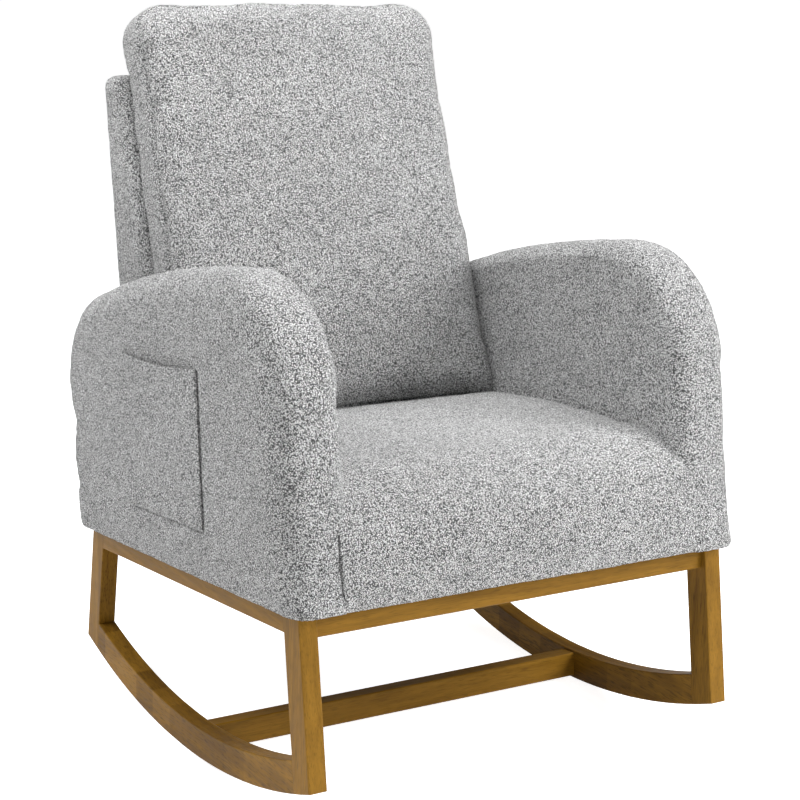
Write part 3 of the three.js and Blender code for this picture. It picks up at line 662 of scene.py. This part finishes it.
def ruffle(piece, pattern):
    """Pushes the surface in and out by a cloudy pattern, given as its size and strength."""
    size, strength = pattern
    texture = bpy.data.textures.new(piece.name + "_clouds", "CLOUDS")
    texture.noise_scale = size
    texture.noise_depth = 1
    modify(piece, "DISPLACE", texture=texture, strength=strength, mid_level=0.5, texture_coords="LOCAL")


def curl(piece):
    """Gives the surface its lumpy pile, so that even its outline is curly."""
    ruffle(piece, FINE_LUMPS)
    ruffle(piece, BROAD_LUMPS)
    settle(piece)


def finish_cover(piece, replaced):
    """Gives a padded cover its pile, its material and the chair's lean, attaches it to the root body and
    hides the CAD part it replaces.
    """
    curl(piece)
    piece.data.transform(LEAN)
    piece.data.materials.clear()
    piece.data.materials.append(boucle_cloth)
    piece.data.shade_smooth()
    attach(piece, "root")
    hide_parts(replaced)


def make_covers():
    """Builds the padded covers and the pockets, for one arm first and then for the other."""
    slope = math.atan(BACK_LEAN)
    depth = CUSHION_DEPTH * math.cos(slope)
    height = (CUSHION_TOP - CUSHION_BOTTOM) / math.cos(slope) - depth * math.tan(slope)
    seat_half = SEAT_HALF + SEAT_BULGE
    arm = prism("arm_cover", arm_outline(), "X", ARM_INNER, ARM_OUTER - 2 * PLAY)
    rounded(arm, ARM_EDGE, ARM_HEM)
    seat = prism("seat_cover", seat_outline(), "X", -seat_half, seat_half)
    rounded(seat, SEAT_EDGE, SEAT_HEM)
    back = prism("outer_back_cover", outer_back_outline(), "X", -OUTER_BACK_HALF, OUTER_BACK_HALF)
    rounded(back, OUTER_BACK_EDGE, OUTER_BACK_HEM)
    cushion = prism("back_cushion_cover", cushion_outline(height), "Y", -depth, -PLAY)
    rounded(cushion, CUSHION_EDGE)
    caps = {arm: ARM_SWELL, seat: SEAT_SWELL, back: OUTER_BACK_SWELL, cushion: CUSHION_SWELL}
    inflate(caps, loose=cushion)
    flatten(arm, seat, back, cushion)
    sew(arm, pocket_edge, POCKET_STITCH)
    add_pockets(arm)
    ruffle(cushion, DENTS)
    settle(cushion)
    for seam in (CUSHION_SEAM_INSET - depth, -CUSHION_SEAM_INSET):
        sew(cushion, lambda points, seam=seam: points[:, 1] - seam, CUSHION_STITCH)
    rear_foot = Vector((CUSHION_SHIFT, CUSHION_FRONT + CUSHION_DEPTH, CUSHION_BOTTOM)) * MM
    cushion.data.transform(Matrix.Translation(rear_foot) @ Matrix.Rotation(-slope, 4, "X"))
    fit_between_arms(cushion, arm)
    rest_on(cushion, seat)

    other_arm = mirrored(arm)
    arm.name, other_arm.name = "right_arm_cover", "left_arm_cover"
    finish_cover(arm, "right_arm")
    finish_cover(other_arm, "left_arm")
    finish_cover(seat, "seat_cushion")
    finish_cover(back, "outer_back")
    finish_cover(cushion, "back_cushion")


def flatten(arm, seat, back, cushion):
    """Makes each soft piece flat where it meets its neighbour, and its net finer."""
    press(arm, (ARM_INNER, 0, 0), (-1, 0, 0))
    fit_between_arms(seat, arm)
    fit_between_arms(back, arm)
    press(seat, (0, SEAT_REAR + TOUCH, 0), (0, 1, 0))
    back_front = (0, CUSHION_FRONT + CUSHION_DEPTH + TOUCH, CUSHION_BOTTOM)
    press(back, back_front, (0, -1, BACK_LEAN))
    press(cushion, (0, -TOUCH, 0), (0, 1, 0))
    for piece in (arm, seat, back, cushion):
        modify(piece, "SUBSURF", levels=1, render_levels=1)
        settle(piece)
    fit_between_arms(seat, arm)
    fit_between_arms(back, arm)
    make_room_for_lining(back)


def mirrored(piece):
    """The same piece on the chair's other side."""
    other = piece.copy()
    other.data = piece.data.copy()
    bpy.context.scene.collection.objects.link(other)
    other.data.transform(Matrix.Scale(-1, 4, (1, 0, 0)))
    other.data.flip_normals()
    return other


def add_pockets(arm):
    """Lays a pocket on the outside of each arm. The arm given is the one on the +X side."""
    for side, sign in (("left", -1), ("right", 1)):
        patch = pocket(side + "_pocket_cloth", sign, arm)
        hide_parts(side + "_pocket")


def pocket_edge(points):
    """How far each point of an arm's outer face is from the seam round its pocket, in millimetres."""
    y, z = points[:, 1], points[:, 2]
    middle = (POCKET_FRONT + POCKET_REAR) / 2
    past_side = np.abs(y - middle) - (POCKET_REAR - POCKET_FRONT) / 2
    past_bottom = POCKET_BOTTOM - z
    nearest = np.abs(np.maximum(past_side, past_bottom))
    elsewhere = (z > POCKET_TOP) | (points[:, 0] < ARM_OUTER - ARM_EDGE)
    return np.where(elsewhere, FAR, nearest)


def ridge(distance, width):
    """A fold along an edge: 1 over its width, with a soft end."""
    return 1 / (1 + math.exp((distance - width) / FOLD_SOFTNESS))


def pocket_swell(across, down):
    """How far the patch stands off the arm. across is 0 to 1 from front to rear, and down from the mouth."""
    width = POCKET_REAR - POCKET_FRONT
    height = POCKET_TOP - POCKET_BOTTOM
    to_side = min(across, 1 - across) * width
    slack = (1 - (2 * across - 1) ** 4) * (1 - down**6)
    gape = math.exp(-down * height / GAPE_REACH)
    folds = max(ridge(to_side, POCKET_SEAM), ridge(down * height, POCKET_HEM))
    return STAND_OFF + slack * (SLACK + GAPE * gape) + FOLD * folds


def pocket(name, sign, arm):
    """A patch of the same cloth sewn to the arm along its sides and bottom. Its mouth gapes a little."""
    skin = surface_of(arm)
    points = []
    for j in range(POCKET_ROWS + 1):
        down = 1 - j / POCKET_ROWS
        for i in range(POCKET_COLUMNS + 1):
            across = i / POCKET_COLUMNS
            y = POCKET_FRONT + across * (POCKET_REAR - POCKET_FRONT)
            top = POCKET_TOP - POCKET_SAG * math.sin(math.pi * across)
            z = top - down * (top - POCKET_BOTTOM)
            on_arm = skin.ray_cast(Vector((FAR, y, z)) * MM, Vector((-1, 0, 0)))[0]
            x = on_arm.x / MM + pocket_swell(across, down)
            points.append(Vector((sign * x, y, z)) * MM)
    faces = []
    for j in range(POCKET_ROWS):
        for i in range(POCKET_COLUMNS):
            a = j * (POCKET_COLUMNS + 1) + i
            quad = (a, a + 1, a + POCKET_COLUMNS + 2, a + POCKET_COLUMNS + 1)
            faces.append(quad if sign > 0 else quad[::-1])
    mesh = bpy.data.meshes.new(name)
    mesh.from_pydata(points, [], faces)
    piece = bpy.data.objects.new(name, mesh)
    bpy.context.scene.collection.objects.link(piece)
    modify(piece, "SOLIDIFY", thickness=POCKET_CLOTH * MM, offset=-1.0)
    settle(piece)
    curl(piece)
    piece.data.transform(LEAN)
    piece.data.materials.append(boucle_cloth)
    piece.data.shade_smooth()
    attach(piece, "root")
    return piece


# --- studio --------------------------------------------------------------------------------------


def make_camera():
    """The photo's camera, which keeps its place by the chair and so leans with it."""
    camera = bpy.data.objects.new("camera", bpy.data.cameras.new("camera"))
    bpy.context.scene.collection.objects.link(camera)
    camera.data.lens = CAMERA_LENS
    a, e = CAMERA_AZIMUTH, CAMERA_ELEVATION
    back = Vector((math.sin(a) * math.cos(e), -math.cos(a) * math.cos(e), math.sin(e)))
    right = (-back).cross(Vector((0, 0, 1))).normalized()
    up = back.cross(right)
    turn = Matrix((right, up, back)).transposed().to_4x4() @ Matrix.Rotation(CAMERA_ROLL, 4, "Z")
    camera.matrix_world = LEAN @ Matrix.Translation(CAMERA_PLACE) @ turn
    camera.data.clip_end = CAMERA_REACH
    bpy.context.scene.camera = camera


def make_light(name, offset, size, power):
    """A round soft light that faces the middle of the chair."""
    place = MIDDLE + Vector(offset)
    light = bpy.data.objects.new(name, bpy.data.lights.new(name, "AREA"))
    bpy.context.scene.collection.objects.link(light)
    light.data.shape = "DISK"
    light.data.size = size
    light.data.energy = power
    light.location = place
    light.rotation_euler = (MIDDLE - place).to_track_quat("-Z", "Y").to_euler()


def make_backdrop():
    """Surroundings that are white to the camera, but give the chair less light than that."""
    world = bpy.data.worlds.new("studio")
    world.use_nodes = True
    tree = world.node_tree
    background = tree.nodes["Background"]
    background.inputs["Color"].default_value = WHITE
    seen = tree.nodes.new("ShaderNodeLightPath").outputs["Is Camera Ray"]
    strength = tree.nodes.new("ShaderNodeMapRange")
    strength.inputs["To Min"].default_value = AMBIENT
    strength.inputs["To Max"].default_value = BACKDROP
    tree.links.new(seen, strength.inputs["Value"])
    tree.links.new(strength.outputs["Result"], background.inputs["Strength"])
    bpy.context.scene.world = world


def make_floor():
    """A pale floor that glows for the camera, to look white, and gives the chair less light than that."""
    mesh = bpy.data.meshes.new("floor")
    half = FLOOR_HALF
    corners = [(-half, -half, 0), (half, -half, 0), (half, half, 0), (-half, half, 0)]
    mesh.from_pydata(corners, [], [(0, 1, 2, 3)])
    floor = bpy.data.objects.new("floor", mesh)
    bpy.context.scene.collection.objects.link(floor)
    n = Nodes("pale_floor")
    n.shader.inputs["Base Color"].default_value = (FLOOR_GREY, FLOOR_GREY, FLOOR_GREY, 1)
    n.shader.inputs["Roughness"].default_value = FLOOR_ROUGHNESS
    n.shader.inputs["Emission Color"].default_value = WHITE
    seen = n.add("ShaderNodeLightPath").outputs["Is Camera Ray"]
    glow = n.add("ShaderNodeMapRange", {
        "Value": seen, "To Min": FLOOR_GLOW, "To Max": FLOOR_GLOW_SEEN})
    n.feed(n.shader.inputs["Emission Strength"], glow.outputs["Result"])
    mesh.materials.append(n.material)


def make_studio():
    make_backdrop()
    bpy.context.scene.view_settings.view_transform = "Standard"
    for light in LIGHTS:
        make_light(*light)
    make_floor()


dress_cad(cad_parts)
make_covers()
make_camera()
make_studio()
